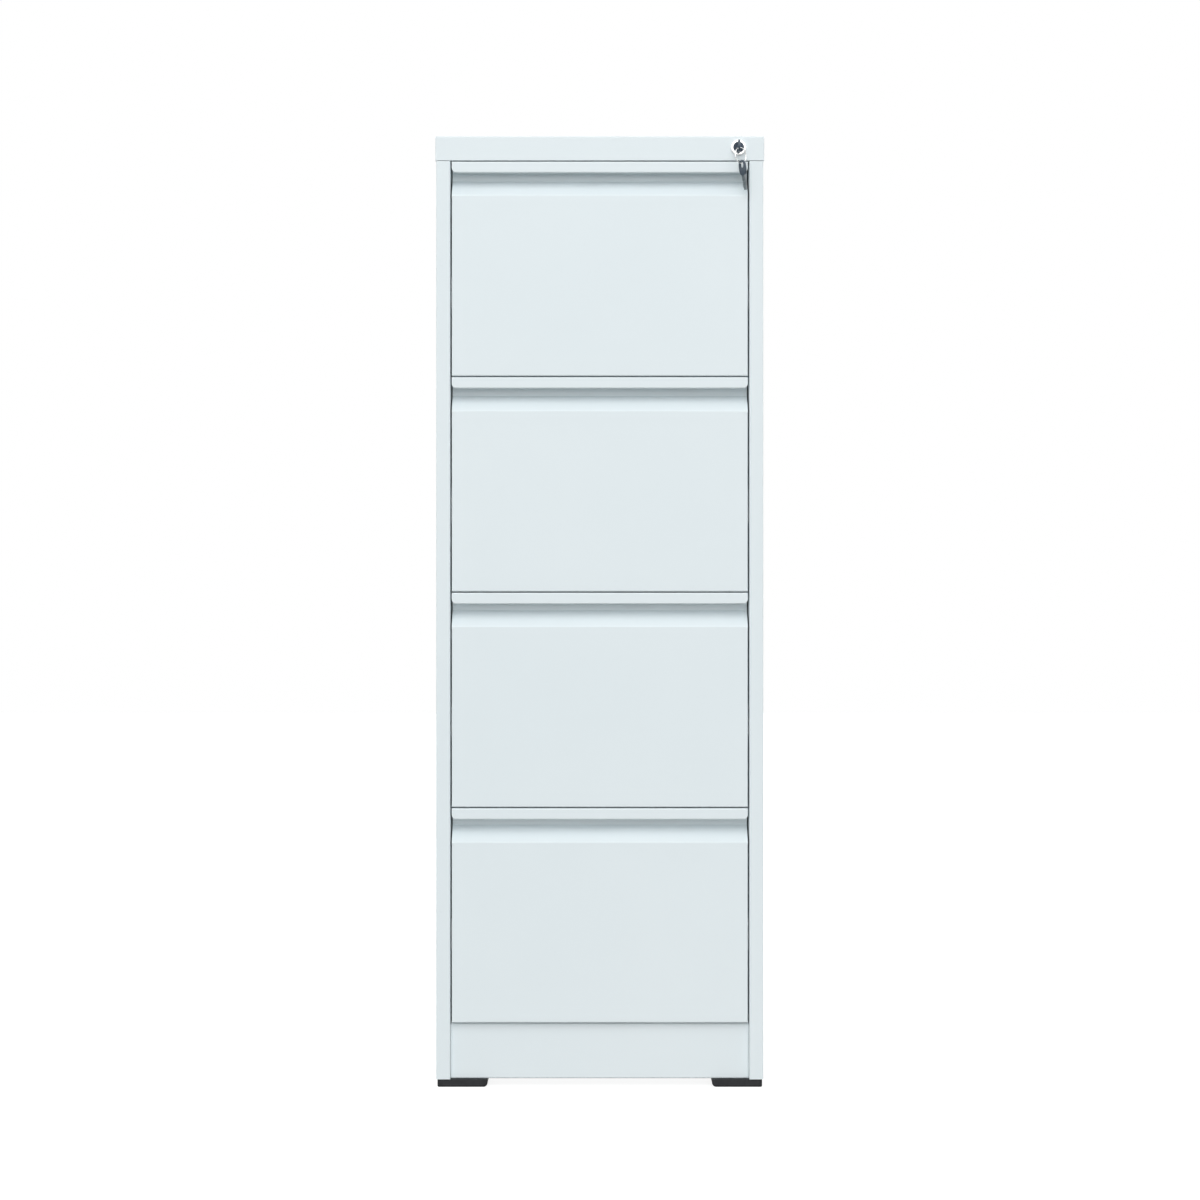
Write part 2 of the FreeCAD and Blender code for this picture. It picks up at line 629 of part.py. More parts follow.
def cam_screw():
    """The small screw in the end of the plug's tail."""
    end = CAM_AT + CAM_T
    head = rod(CAM_SCREW_HEAD_R, at_lock(end), at_lock(end + CAM_SCREW_HEAD_H))
    return joined([head, rod(CAM_SCREW_R, at_lock(end - CAM_SCREW_L), at_lock(end))])


def finger_low(number):
    """Lower edge of a lowered finger."""
    return drawer_bottom(number) + CATCH_Z - FINGER_PLAY - FINGER_H


def lock_bar():
    """The bar inside the front right post, with a yoke round the cam's pin and a finger for each drawer."""
    pin = cam_pin_centre(0)
    play = CAM_PIN_R + PIN_PLAY
    top, low = pin.z + play + YOKE_WALL, finger_low(DRAWERS) - BAR_TAIL
    yoke = box(LOCK_X + YOKE_IN, BAR_X0, FRONT + YOKE_Y0, FRONT + YOKE_Y1, pin.z - play - YOKE_WALL, top)
    slot = box(pin.x - play, LOCK_X + CAM_PIN_REACH + play, FRONT + BAR_Y0, FRONT + BAR_Y1,
               pin.z - play, pin.z + play)
    pieces = [box(BAR_X0, BAR_X1, FRONT + BAR_Y0, FRONT + BAR_Y1, low, top), yoke.cut(slot)]
    for number in range(1, DRAWERS + 1):
        bottom = finger_low(number)
        pieces.append(box(TRAY_HALF + OUTER_OPEN, BAR_X0, FRONT + FINGER_Y0, FRONT + FINGER_Y1,
                          bottom, bottom + FINGER_H))
    return Part.makeCompound(pieces)


def lock_bar_guides():
    """Three keepers welded inside the post, which the bar slides through."""
    guides = []
    play, wall = GUIDE_PLAY, GUIDE_PLAY + GUIDE_WALL
    for number in (1, 2, 4):
        middle = drawer_bottom(number) + FINGER_H
        outer = box(STILE_IN + SHEET, BAR_X1 + play + wall, FRONT + BAR_Y0 - wall, FRONT + BAR_Y1 + wall,
                    middle - GUIDE_HALF_H, middle + GUIDE_HALF_H)
        hollow = box(BAR_X0 - play, BAR_X1 + play, FRONT + BAR_Y0 - play, FRONT + BAR_Y1 + play,
                     middle - 2 * GUIDE_HALF_H, middle + 2 * GUIDE_HALF_H)
        guides.append(outer.cut(hollow))
    return Part.makeCompound(guides)


# Keys, drawn with the shoulder at the origin, the blade along +Y and the head along -Y

def key_head():
    """A moulded head with a wide slot for the ring and a pocket for the blade's tang."""
    half_t, half_w = HEAD_T / 2, HEAD_W / 2
    head = box(-half_t, half_t, -HEAD_L, 0, -half_w, half_w)

    def corner(middle, along):
        return abs(along.x) > 0.9

    head = rounded(head, HEAD_CORNER, corner)
    rims = [edge for edge in head.Edges if abs(edge.CenterOfMass.x) > half_t - 0.01]
    head = head.makeFillet(HEAD_SOFT, rims)
    slot_r = SLOT_L / 2
    reach = SLOT_W / 2 - slot_r
    slot = [box(-HEAD_T, HEAD_T, -SLOT_AT - slot_r, -SLOT_AT + slot_r, -reach, reach)]
    for z in (-reach, reach):
        slot.append(rod(slot_r, V(-HEAD_T, -SLOT_AT, z), V(HEAD_T, -SLOT_AT, z)))
    tang = box(-BLADE_T / 2, BLADE_T / 2, -TANG_L, SHEET, -BLADE_W / 2, BLADE_W / 2)
    return head.cut(joined(slot)).cut(tang)


def key_cut(middle_y, deep):
    """The wedge of steel that one cut takes from the blade's upper edge."""
    top, out = BLADE_W / 2, BLADE_T
    corners = [V(-out, middle_y - deep, top), V(-out, middle_y, top - deep), V(-out, middle_y + deep, top)]
    return Part.Face(Part.makePolygon(corners + corners[:1])).extrude(V(2 * out, 0, 0))


def key_blade():
    """The steel blade: tang, cuts along one edge, a long groove and a rounded tip."""
    half_t, half_w = BLADE_T / 2, BLADE_W / 2
    blade = box(-half_t, half_t, -TANG_L, BLADE_L, -half_w, half_w)
    for step in range(KEY_CUTS):
        middle_y = BLADE_L * (step + 1.2) / (KEY_CUTS + 1)
        blade = blade.cut(key_cut(middle_y, CUT_LEAST + CUT_STEP * (step * 2 % 3)))
    groove = box(half_t - KEY_GROOVE_DEEP, BLADE_T, 1, BLADE_L + 1, KEY_GROOVE_LOW, KEY_GROOVE_HIGH)
    tip_r = half_w + TIP_R_MORE
    tip = rod(tip_r, V(-BLADE_T, BLADE_L - tip_r, 0), V(BLADE_T, BLADE_L - tip_r, 0))
    long_stock = box(-BLADE_T, BLADE_T, -TANG_L, BLADE_L - half_w, -half_w, half_w)
    return blade.cut(groove).common(joined([tip, long_stock]))


def in_lock(shape):
    """A key pushed home, its shoulder at the collar's face."""
    shape.translate(at_lock(-BEZEL_H))
    return shape


def ring_pivot():
    """The middle of the strip of key head that the ring hangs on."""
    strip = (HEAD_W / 2 + SLOT_W / 2) / 2
    return at_lock(-BEZEL_H - SLOT_AT) - V(0, 0, strip)


def ring_centre():
    """Centre of the ring, which clears the strip of the key's head all the way as the key turns inside it."""
    strip_half = (HEAD_W - SLOT_W) / 4
    play = math.hypot(strip_half, HEAD_T / 2) + RING_CLEAR
    down = RING_R - RING_WIRE_R - play
    sway = math.radians(RING_SWAY_DEG)
    turn = math.radians(RING_TURN_DEG)
    across = down * math.sin(sway) * math.cos(turn)
    return ring_pivot() + V(across, RING_BACK, -down * math.cos(sway))


def key_ring():
    """A round wire ring."""
    turn = math.radians(RING_TURN_DEG)
    return Part.makeTorus(RING_R, RING_WIRE_R, ring_centre(), V(math.sin(turn), -math.cos(turn), 0))


def spare_pivot():
    """Where the spare key hangs on the ring."""
    turn, round_ring = math.radians(RING_TURN_DEG), math.radians(SPARE_ROUND_DEG)
    across = RING_R * math.sin(round_ring)
    return ring_centre() + V(across * math.cos(turn), across * math.sin(turn), -RING_R * math.cos(round_ring))


def hanging(shape):
    """A key turned blade down, hung by its head's end strip."""
    strip = HEAD_L - SLOT_AT - SLOT_L / 2
    shape.translate(V(0, HEAD_L - strip - RING_WIRE_R - RING_PLAY, 0))
    shape.rotate(V(0, 0, 0), V(1, 0, 0), -90)
    shape.rotate(V(0, 0, 0), V(0, 0, 1), 90 - SPARE_TURN_DEG)
    shape.rotate(V(0, 0, 0), V(0, 1, 0), -SPARE_LEAN_DEG)
    shape.translate(spare_pivot())
    return shape


# Every piece, by name

def all_parts():
    """A dictionary of node name to shape."""
    right = side_panel()
    rear_upright = upright(REAR - UPRIGHT_REAR_AT - UPRIGHT_D)
    parts = {
        "side_panel_right": right,
        "side_panel_left": mirrored(right),
        "back_panel": back_panel(),
        "top_cap": top_cap(),
        "bottom_pan": bottom_pan(),
        "plinth_panel": plinth_panel(),
        "upright_front_right": lock_upright(),
        "upright_front_left": mirrored(upright(FRONT + UPRIGHT_FRONT_AT)),
        "upright_rear_right": rear_upright,
        "upright_rear_left": mirrored(rear_upright),
        "foot_screws": foot_screws(),
        "carcass_screws": Part.makeCompound([wafer_screw(*s) for s in slide_screws() + back_screws()]),
        "lock_housing": lock_housing(),
        "lock_nut": lock_nut(),
        "lock_bar_guides": lock_bar_guides(),
        "lock_plug": lock_plug(),
        "lock_cam": lock_cam(),
        "cam_screw": cam_screw(),
        "lock_bar": lock_bar(),
        "key_head": in_lock(key_head()),
        "key_blade": in_lock(key_blade()),
        "key_ring": key_ring(),
        "spare_key_head": hanging(key_head()),
        "spare_key_blade": hanging(key_blade()),
    }
    for place, centre_y in (("front", FRONT + FOOT_INSET), ("rear", REAR - FOOT_INSET)):
        parts[f"foot_{place}_right"] = foot(centre_y)
        parts[f"foot_{place}_left"] = mirrored(foot(centre_y))
    for number in range(1, DRAWERS + 1):
        parts[f"slide_outer_{number}"] = slide_outer(number)
        parts[f"slide_middle_{number}"] = slide_middle(number)
        parts[f"slide_inner_{number}"] = slide_inner(number)
        parts[f"drawer_{number}_front"] = drawer_front(number)
        parts[f"drawer_{number}_tray"] = drawer_tray(number)
        parts[f"drawer_{number}_back"] = drawer_back(number)
        parts[f"drawer_{number}_file_rails"] = file_rails(number)
        parts[f"drawer_{number}_screws"] = drawer_screws(number)
    return parts


os.makedirs("parts", exist_ok=True)
for name, shape in all_parts().items():
    shape.exportStep(f"parts/{name}.step")
    print(name, "solids", len(shape.Solids), "valid", shape.isValid(), "volume", round(shape.Volume))
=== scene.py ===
# %% [markdown]
# # A four-drawer steel filing cabinet
# This lesson lights it, gives each material its finish, and adds the small things that a camera notices:
# the lock's collar, the split ring, the balls in the slides, the screws and the spot welds.

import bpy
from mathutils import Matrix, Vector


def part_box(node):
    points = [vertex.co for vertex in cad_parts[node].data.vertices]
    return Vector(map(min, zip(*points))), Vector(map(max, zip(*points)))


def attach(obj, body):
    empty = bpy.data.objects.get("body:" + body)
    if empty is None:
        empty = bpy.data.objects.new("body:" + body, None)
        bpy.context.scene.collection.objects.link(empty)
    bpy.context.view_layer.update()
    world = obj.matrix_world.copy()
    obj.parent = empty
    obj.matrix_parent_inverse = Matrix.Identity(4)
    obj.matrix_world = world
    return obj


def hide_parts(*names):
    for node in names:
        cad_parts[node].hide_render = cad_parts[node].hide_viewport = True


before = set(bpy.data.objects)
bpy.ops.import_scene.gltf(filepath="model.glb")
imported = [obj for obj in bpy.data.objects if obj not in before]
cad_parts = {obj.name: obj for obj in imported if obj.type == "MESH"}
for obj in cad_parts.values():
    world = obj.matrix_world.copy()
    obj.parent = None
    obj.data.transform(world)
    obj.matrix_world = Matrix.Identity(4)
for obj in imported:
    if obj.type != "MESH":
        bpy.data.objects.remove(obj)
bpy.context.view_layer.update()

# %% Tools for the rest of the lesson
import math

import bmesh
import bpy
import numpy as np

MM = 0.001
scene = bpy.context.scene
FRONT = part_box("side_panel_right")[0].y
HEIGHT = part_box("top_cap")[1].z
print("front plane at", round(FRONT, 4), "height", round(HEIGHT, 4))

# %% [markdown]
# ## The camera
# The cabinet is seen straight from the front, at half its height, so that both sides and the top are hidden
# and every horizontal edge stays level. A longer lens from nearly four metres keeps the edges parallel.

# %% Camera
CAMERA_DISTANCE = 3.75
CAMERA_RIGHT, CAMERA_HEIGHT = 0.0003, 0.6813
LENS_MM, SENSOR_MM = 80.46, 36
lens = bpy.data.cameras.new("front_camera")
lens.lens = LENS_MM
lens.sensor_width = SENSOR_MM
camera = bpy.data.objects.new("front_camera", lens)
camera.location = (CAMERA_RIGHT, FRONT - CAMERA_DISTANCE, CAMERA_HEIGHT)
camera.rotation_euler = (math.radians(90), 0, 0)
scene.collection.objects.link(camera)
scene.camera = camera
scene.view_settings.view_transform = "Standard"
print("camera", [round(v, 3) for v in camera.location])

# %% [markdown]
# ## The studio
# A white object on white needs light with a direction, or its folds disappear. The white room is bright to
# the camera, greyer below the horizon for everything else, and lights the paint only weakly. A wide soft sun
# from above the front does most of the work: a slope that faces it turns almost white, and what lies under an
# overhang stays grey. A second, low sun at the front lifts the backs of the grooves. Suns are used here
# because their light doesn't fall off down the height of the cabinet.

# %% White room
ROOM_TO_PAINT = 0.405
BELOW_HORIZON, ABOVE_HORIZON = (0.62, 0.61, 0.59, 1), (1, 1, 1, 1)
GREY_UP_TO, WHITE_FROM = 0.40, 0.56
room = bpy.data.worlds.new("white_room")
room.use_nodes = True
nodes, links = room.node_tree.nodes, room.node_tree.links
bright = nodes["Background"]
dim = nodes.new("ShaderNodeBackground")
dim.inputs["Strength"].default_value = ROOM_TO_PAINT
direction = nodes.new("ShaderNodeTexCoord")
upward = nodes.new("ShaderNodeSeparateXYZ")
height_to_white = nodes.new("ShaderNodeValToRGB")
lower, upper = height_to_white.color_ramp.elements
lower.position, lower.color = GREY_UP_TO, BELOW_HORIZON
upper.position, upper.color = WHITE_FROM, ABOVE_HORIZON
shift = nodes.new("ShaderNodeMapRange")
shift.inputs["From Min"].default_value = -1.0
links.new(direction.outputs["Generated"], upward.inputs[0])
links.new(upward.outputs["Z"], shift.inputs["Value"])
links.new(shift.outputs["Result"], height_to_white.inputs["Fac"])
links.new(height_to_white.outputs["Color"], dim.inputs["Color"])
glossy_room = nodes.new("ShaderNodeBackground")
links.new(height_to_white.outputs["Color"], glossy_room.inputs["Color"])
bright.inputs["Color"].default_value = (1, 1, 1, 1)
ray = nodes.new("ShaderNodeLightPath")
seen_or_mirrored = nodes.new("ShaderNodeMixShader")
all_rays = nodes.new("ShaderNodeMixShader")
links.new(ray.outputs["Is Camera Ray"], seen_or_mirrored.inputs["Fac"])
links.new(glossy_room.outputs[0], seen_or_mirrored.inputs[1])
links.new(bright.outputs[0], seen_or_mirrored.inputs[2])
links.new(ray.outputs["Is Diffuse Ray"], all_rays.inputs["Fac"])
links.new(seen_or_mirrored.outputs[0], all_rays.inputs[1])
links.new(dim.outputs[0], all_rays.inputs[2])
links.new(all_rays.outputs[0], nodes["World Output"].inputs["Surface"])
scene.world = room
print(room.name, len(nodes), "nodes")


# %% Soft suns
def soft_sun(name, azimuth, elevation, strength, spread):
    """A sun whose light comes from an azimuth (0 is the front, 90 the right) and an elevation, in degrees."""
    lamp = bpy.data.lights.new(name, "SUN")
    lamp.energy = strength
    lamp.angle = math.radians(spread)
    sun = bpy.data.objects.new(name, lamp)
    sun.rotation_euler = (math.radians(90 - elevation), 0, math.radians(azimuth))
    scene.collection.objects.link(sun)
    return sun


SUNS = {"key_sun": (0, 44, 1.21, 50), "front_fill_sun": (0, 8, 0.83, 60),
        "left_fill_sun": (-100, 10, 0.7, 60), "right_fill_sun": (100, 10, 0.7, 60),
        "back_sun": (180, 12, 1.2, 60)}
for sun_name, place_and_strength in SUNS.items():
    soft_sun(sun_name, *place_and_strength)
print("suns", list(SUNS))

# %% [markdown]
# One wide lamp high in front adds a little light that does fall off, so the cabinet darkens slightly towards
# the floor, as it would in a real room.

# %% High softbox
SOFTBOX_W, SOFTBOX_H, SOFTBOX_WATTS = 2.4, 1.2, 4.0
SOFTBOX_AHEAD, SOFTBOX_UP, SOFTBOX_TILT_DEG = 1.3, 2.7, 45
softbox_lamp = bpy.data.lights.new("high_softbox", "AREA")
softbox_lamp.shape = "RECTANGLE"
softbox_lamp.size, softbox_lamp.size_y = SOFTBOX_W, SOFTBOX_H
softbox_lamp.energy = SOFTBOX_WATTS
softbox = bpy.data.objects.new("high_softbox", softbox_lamp)
softbox.location = (0, FRONT - SOFTBOX_AHEAD, SOFTBOX_UP)
softbox.rotation_euler = (math.radians(SOFTBOX_TILT_DEG), 0, 0)
scene.collection.objects.link(softbox)

# %% [markdown]
# The floor is one wide plane that glows a little, so it stays as white as the room under and around the feet.
# It is hidden from diffuse and glossy rays, so it doesn't light the cabinet or show in its metals.

# %% Floor
FLOOR_HALF = 12.0
FLOOR_GREY, FLOOR_GLOW, FLOOR_ROUGH = 0.25, 0.86, 0.9
floor_mesh = bpy.data.meshes.new("studio_floor")
floor_mesh.from_pydata([(-FLOOR_HALF, -FLOOR_HALF, 0), (FLOOR_HALF, -FLOOR_HALF, 0),
                        (FLOOR_HALF, FLOOR_HALF, 0), (-FLOOR_HALF, FLOOR_HALF, 0)], [], [(0, 1, 2, 3)])
floor = bpy.data.objects.new("studio_floor", floor_mesh)
scene.collection.objects.link(floor)
floor.visible_diffuse = False
floor.visible_glossy = False
pale = bpy.data.materials.new("pale_floor")
pale.use_nodes = True
pale_shader = pale.node_tree.nodes["Principled BSDF"]
pale_shader.inputs["Base Color"].default_value = (FLOOR_GREY, FLOOR_GREY, FLOOR_GREY, 1)
pale_shader.inputs["Roughness"].default_value = FLOOR_ROUGH
pale_shader.inputs["Emission Color"].default_value = (1, 1, 1, 1)
pale_shader.inputs["Emission Strength"].default_value = FLOOR_GLOW
floor_mesh.materials.append(pale)
print("floor", FLOOR_HALF * 2, "m wide")


# %% [markdown]
# ## Finishes
# Each finish starts from one Principled shader. Its colour, gloss and small relief come from noise in Object
# coordinates, so a pattern keeps its real size in millimetres and moves with the piece it is on. Most of a
# noise's values lie between 0.3 and 0.7, so that span is what a colour or a gloss is stretched over.

# %% Helpers for finishes
NOISE_LOW, NOISE_HIGH = 0.3, 0.7


class Finish:
    """A material with one Principled shader and short ways to add patterns to it."""

    def __init__(self, name, **constants):
        self.material = bpy.data.materials.new(name)
        self.material.use_nodes = True
        self.tree = self.material.node_tree
        self.shader = self.tree.nodes["Principled BSDF"]
        for socket, value in constants.items():
            self.shader.inputs[socket.replace("_", " ")].default_value = value
        coordinates = self.tree.nodes.new("ShaderNodeTexCoord")
        self.place = coordinates.outputs["Object"]

    def node(self, kind, **settings):
        new = self.tree.nodes.new(kind)
        for key, value in settings.items():
            setattr(new, key, value)
        return new

    def link(self, out, into):
        self.tree.links.new(out, into)

    def stretched(self, scale, centre=(0, 0, 0)):
        """Object coordinates moved to a centre, then multiplied by a scale along each axis."""
        move = self.node("ShaderNodeVectorMath", operation="SUBTRACT")
        self.link(self.place, move.inputs[0])
        move.inputs[1].default_value = centre
        grow = self.node("ShaderNodeVectorMath", operation="MULTIPLY")
        self.link(move.outputs[0], grow.inputs[0])
        grow.inputs[1].default_value = scale
        return grow.outputs[0]

    def noise(self, size_mm, detail=3.0, rough=0.5, place=None):
        """Noise whose blobs are about size_mm across."""
        new = self.node("ShaderNodeTexNoise")
        new.inputs["Scale"].default_value = 1 / (size_mm * MM)
        new.inputs["Detail"].default_value = detail
        new.inputs["Roughness"].default_value = rough
        self.link(place or self.place, new.inputs["Vector"])
        return new.outputs["Fac"]

    def ramp(self, value, low, high):
        """Turns a noise value into a colour between low and high."""
        new = self.node("ShaderNodeValToRGB")
        first, last = new.color_ramp.elements
        first.position, first.color = NOISE_LOW, low
        last.position, last.color = NOISE_HIGH, high
        self.link(value, new.inputs["Fac"])
        return new.outputs["Color"]

    def between(self, value, low, high):
        """Turns a noise value into a number between low and high."""
        new = self.node("ShaderNodeMapRange")
        new.inputs["From Min"].default_value = NOISE_LOW
        new.inputs["From Max"].default_value = NOISE_HIGH
        new.inputs["To Min"].default_value = low
        new.inputs["To Max"].default_value = high
        self.link(value, new.inputs["Value"])
        return new.outputs["Result"]

    def colour(self, out):
        self.link(out, self.shader.inputs["Base Color"])

    def gloss(self, out):
        self.link(out, self.shader.inputs["Roughness"])

    def relief(self, *layers):
        """Adds bumps one over another; each layer is (value, height in mm, strength)."""
        before = None
        for value, height_mm, strength in layers:
            bump = self.node("ShaderNodeBump")
            bump.inputs["Distance"].default_value = height_mm * MM
            bump.inputs["Strength"].default_value = strength
            self.link(value, bump.inputs["Height"])
            if before is not None:
                self.link(before, bump.inputs["Normal"])
            before = bump.outputs["Normal"]
        self.link(before, self.shader.inputs["Normal"])


print("finish helpers ready")

# %% [markdown]
# ### White powder coat
# The sheet metal is sprayed with a white powder that melts in an oven. Close up it has a fine orange peel,
# because the melted drops never quite level, and its gloss varies a little where hands and cloths have
# rubbed it. Two sizes of noise make the peel, and a third, very wide one shifts the white by a hair.

# %% White powder coat
white_paint = Finish("white_powder_coat", IOR=1.5, Coat_Weight=0.12, Coat_Roughness=0.22)
drift = white_paint.noise(size_mm=420, detail=2)
white_paint.colour(white_paint.ramp(drift, (0.766, 0.848, 0.880, 1), (0.788, 0.864, 0.893, 1)))
white_paint.gloss(white_paint.between(white_paint.noise(size_mm=60, detail=4), 0.34, 0.46))
white_paint.relief((white_paint.noise(size_mm=1.6, detail=2), 0.05, 0.18),
                   (white_paint.noise(size_mm=5.5, detail=1), 0.08, 0.12))
print(white_paint.material.name, len(white_paint.tree.nodes), "nodes")

# %% [markdown]
# ### Zinc plate
# Slides, screws and the lock's bar are zinc plated. The plate is bright and slightly blue, with faint
# patches where it grew in different thicknesses, and it was dragged through rollers, so its gloss is streaked
# along the length of the slides.

# %% Zinc plate
zinc_plate = Finish("zinc_plate", Metallic=1.0)
patches = zinc_plate.noise(size_mm=14, detail=4)
zinc_plate.colour(zinc_plate.ramp(patches, (0.52, 0.56, 0.61, 1), (0.68, 0.70, 0.70, 1)))
drawn = zinc_plate.noise(size_mm=1.2, detail=3, place=zinc_plate.stretched((1, 0.03, 1)))
zinc_plate.gloss(zinc_plate.between(drawn, 0.24, 0.42))
zinc_plate.relief((drawn, 0.02, 0.2), (zinc_plate.noise(size_mm=0.6, detail=2), 0.01, 0.1))
print(zinc_plate.material.name, len(zinc_plate.tree.nodes), "nodes")

# %% [markdown]
# ### The lock's metals
# The collar is polished chrome with hairline wiping scratches. The plug is dark nickel, faced on a lathe, so
# fine rings run round its middle: a sine of the distance from the lock's axis draws them.

# %% Lock chrome
collar_low, collar_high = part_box("lock_housing")
LOCK_X = (collar_low.x + collar_high.x) / 2
LOCK_Z = (collar_low.z + collar_high.z) / 2
print("lock axis at", round(LOCK_X, 4), round(LOCK_Z, 4))

lock_chrome = Finish("lock_chrome", Metallic=1.0)
haze = lock_chrome.noise(size_mm=6, detail=4)
lock_chrome.colour(lock_chrome.ramp(haze, (0.80, 0.80, 0.79, 1), (0.90, 0.90, 0.90, 1)))
hairlines = lock_chrome.noise(size_mm=0.5, detail=2, place=lock_chrome.stretched((1, 1, 0.08)))
lock_chrome.gloss(lock_chrome.between(hairlines, 0.08, 0.2))
lock_chrome.relief((hairlines, 0.004, 0.2))

# %% Dark nickel plug
LATHE_SCALE, LATHE_WOBBLE = 2.0, 0.6
lock_core = Finish("dark_nickel", Metallic=0.75)
lathe = lock_core.node("ShaderNodeTexWave", wave_type="RINGS", rings_direction="Y", wave_profile="SIN")
lathe.inputs["Scale"].default_value = LATHE_SCALE
lathe.inputs["Distortion"].default_value = LATHE_WOBBLE
in_millimetres = lock_core.stretched((1 / MM, 1 / MM, 1 / MM), (LOCK_X, FRONT, LOCK_Z))
lock_core.link(in_millimetres, lathe.inputs["Vector"])
lock_core.colour(lock_core.ramp(lock_core.noise(size_mm=5), (0.020, 0.028, 0.040, 1),
                                (0.045, 0.060, 0.085, 1)))
lock_core.gloss(lock_core.between(lathe.outputs["Fac"], 0.3, 0.42))
lock_core.relief((lathe.outputs["Fac"], 0.01, 0.25))
print("lock metals ready")

# %% [markdown]
# ### Keys and feet
# The key blades and the ring are plain steel, dulled by pockets. Their heads are moulded in a dark blue-grey
# plastic with a slight sheen, and the feet in a rougher black one. Moulded plastic shows the spark-eroded
# grain of its mould, which very fine noise gives as a relief.

# %% Key steel
key_steel = Finish("key_steel", Metallic=1.0)
dull = key_steel.noise(size_mm=3, detail=5)
key_steel.colour(key_steel.ramp(dull, (0.13, 0.15, 0.16, 1), (0.30, 0.32, 0.33, 1)))
brushed = key_steel.noise(size_mm=0.35, detail=2, place=key_steel.stretched((1, 0.15, 0.15)))
key_steel.gloss(key_steel.between(brushed, 0.25, 0.5))
key_steel.relief((brushed, 0.006, 0.3))

# %% Moulded plastics
key_plastic = Finish("key_head_plastic", IOR=1.49)
key_plastic.colour(key_plastic.ramp(key_plastic.noise(size_mm=9), (0.045, 0.066, 0.094, 1),
                                    (0.062, 0.088, 0.120, 1)))
key_plastic.gloss(key_plastic.between(key_plastic.noise(size_mm=2.5), 0.28, 0.42))
key_plastic.relief((key_plastic.noise(size_mm=0.25, detail=1), 0.01, 0.3))

black_plastic = Finish("foot_plastic", IOR=1.49, Specular_IOR_Level=0.3)
black_plastic.colour(black_plastic.ramp(black_plastic.noise(size_mm=12), (0.010, 0.011, 0.013, 1),
                                        (0.018, 0.019, 0.022, 1)))
black_plastic.gloss(black_plastic.between(black_plastic.noise(size_mm=4), 0.5, 0.68))
black_plastic.relief((black_plastic.noise(size_mm=0.7, detail=2), 0.05, 0.4))
print("plastics ready")

# %% [markdown]
# ## Finishes on the CAD pieces
# A node's name says what it is made of, so one rule from name to slot and one table from slot to finish dress
# the whole cabinet.

# %% Dress the CAD pieces
FINISHES = {"white_paint": white_paint, "zinc_plate": zinc_plate, "lock_chrome": lock_chrome,
            "lock_core": lock_core, "key_steel": key_steel, "key_plastic": key_plastic,
            "black_plastic": black_plastic}


def slot_of(node):
    """The finish a CAD node takes, by what the node is."""
    if node.startswith("foot_") and node != "foot_screws":
        return "black_plastic"
    if node.endswith("_head"):
        return "key_plastic"
    if node.endswith("_blade"):
        return "key_steel"
    if node in ("lock_housing", "key_ring"):
        return "lock_chrome"
    if node == "lock_plug":
        return "lock_core"
    if "screw" in node or node.startswith("slide_") or node.startswith("lock_"):
        return "zinc_plate"
    return "white_paint"


for name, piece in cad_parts.items():
    for held in piece.material_slots:
        held.material = FINISHES[slot_of(name)].material
print(len(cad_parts), "CAD pieces dressed")

# %% [markdown]
# ## New pieces as surfaces
# Every new piece is a grid of points worked out with numpy: rows times columns, joined into four-sided faces.
# A grid can close on itself along either direction, as a ring or a tube does. Doubled points at a pole are
# merged, and then all faces are turned outwards.


# %% From a grid to a piece
def grid_faces(rows, columns, wrap_rows=False, wrap_columns=False):
    """Corner numbers of every face: point (i, j) with its neighbours (i+1, j), (i+1, j+1) and (i, j+1)."""
    i = np.arange(rows if wrap_rows else rows - 1)[:, None]
    j = np.arange(columns if wrap_columns else columns - 1)[None, :]
    next_i, next_j = (i + 1) % rows, (j + 1) % columns
    corners = [i * columns + j, next_i * columns + j, next_i * columns + next_j, i * columns + next_j]
    return np.stack(corners, axis=-1).reshape(-1, 4)


def build_piece(name, shells, body, slot, smooth_deg=35.0):
    """One object from several grids, each (points, wrap_rows, wrap_columns); it rides on a body."""
    all_points, all_faces, start = [], [], 0
    for points, wrap_rows, wrap_columns in shells:
        rows, columns = points.shape[:2]
        all_points.append(points.reshape(-1, 3))
        all_faces.append(grid_faces(rows, columns, wrap_rows, wrap_columns) + start)
        start += rows * columns
    mesh = bpy.data.meshes.new(name)
    mesh.from_pydata(np.concatenate(all_points).tolist(), [], np.concatenate(all_faces).tolist())
    shape = bmesh.new()
    shape.from_mesh(mesh)
    bmesh.ops.remove_doubles(shape, verts=shape.verts, dist=1e-6)
    bmesh.ops.recalc_face_normals(shape, faces=shape.faces)
    shape.to_mesh(mesh)
    shape.free()
    mesh.shade_smooth()
    mesh.set_sharp_from_angle(angle=math.radians(smooth_deg))
    mesh.materials.append(FINISHES[slot].material)
    piece = bpy.data.objects.new(name, mesh)
    scene.collection.objects.link(piece)
    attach(piece, body)
    print(name, len(mesh.polygons), "faces")
    return piece


def turned(profile, origin, axis, across, steps):
    """A profile of (radius, distance along the axis) spun about the axis:
    point = origin + axis * distance + (across * cos t + (axis x across) * sin t) * radius."""
    origin, axis, across = np.array(origin), np.array(axis, float), np.array(across, float)
    t = np.linspace(0, 2 * np.pi, steps, endpoint=False)
    ring = np.cos(t)[:, None] * across + np.sin(t)[:, None] * np.cross(axis, across)
    profile = np.asarray(profile, float)
    return origin + profile[:, 1][:, None, None] * axis + profile[:, 0][:, None, None] * ring[None]


def curve_arc(centre, radius, start_deg, end_deg, steps=8):
    """Points of a circular arc in the plane of a profile."""
    t = np.radians(np.linspace(start_deg, end_deg, steps))
    return np.stack([centre[0] + radius * np.cos(t), centre[1] + radius * np.sin(t)], axis=1)


print("grid tools ready")

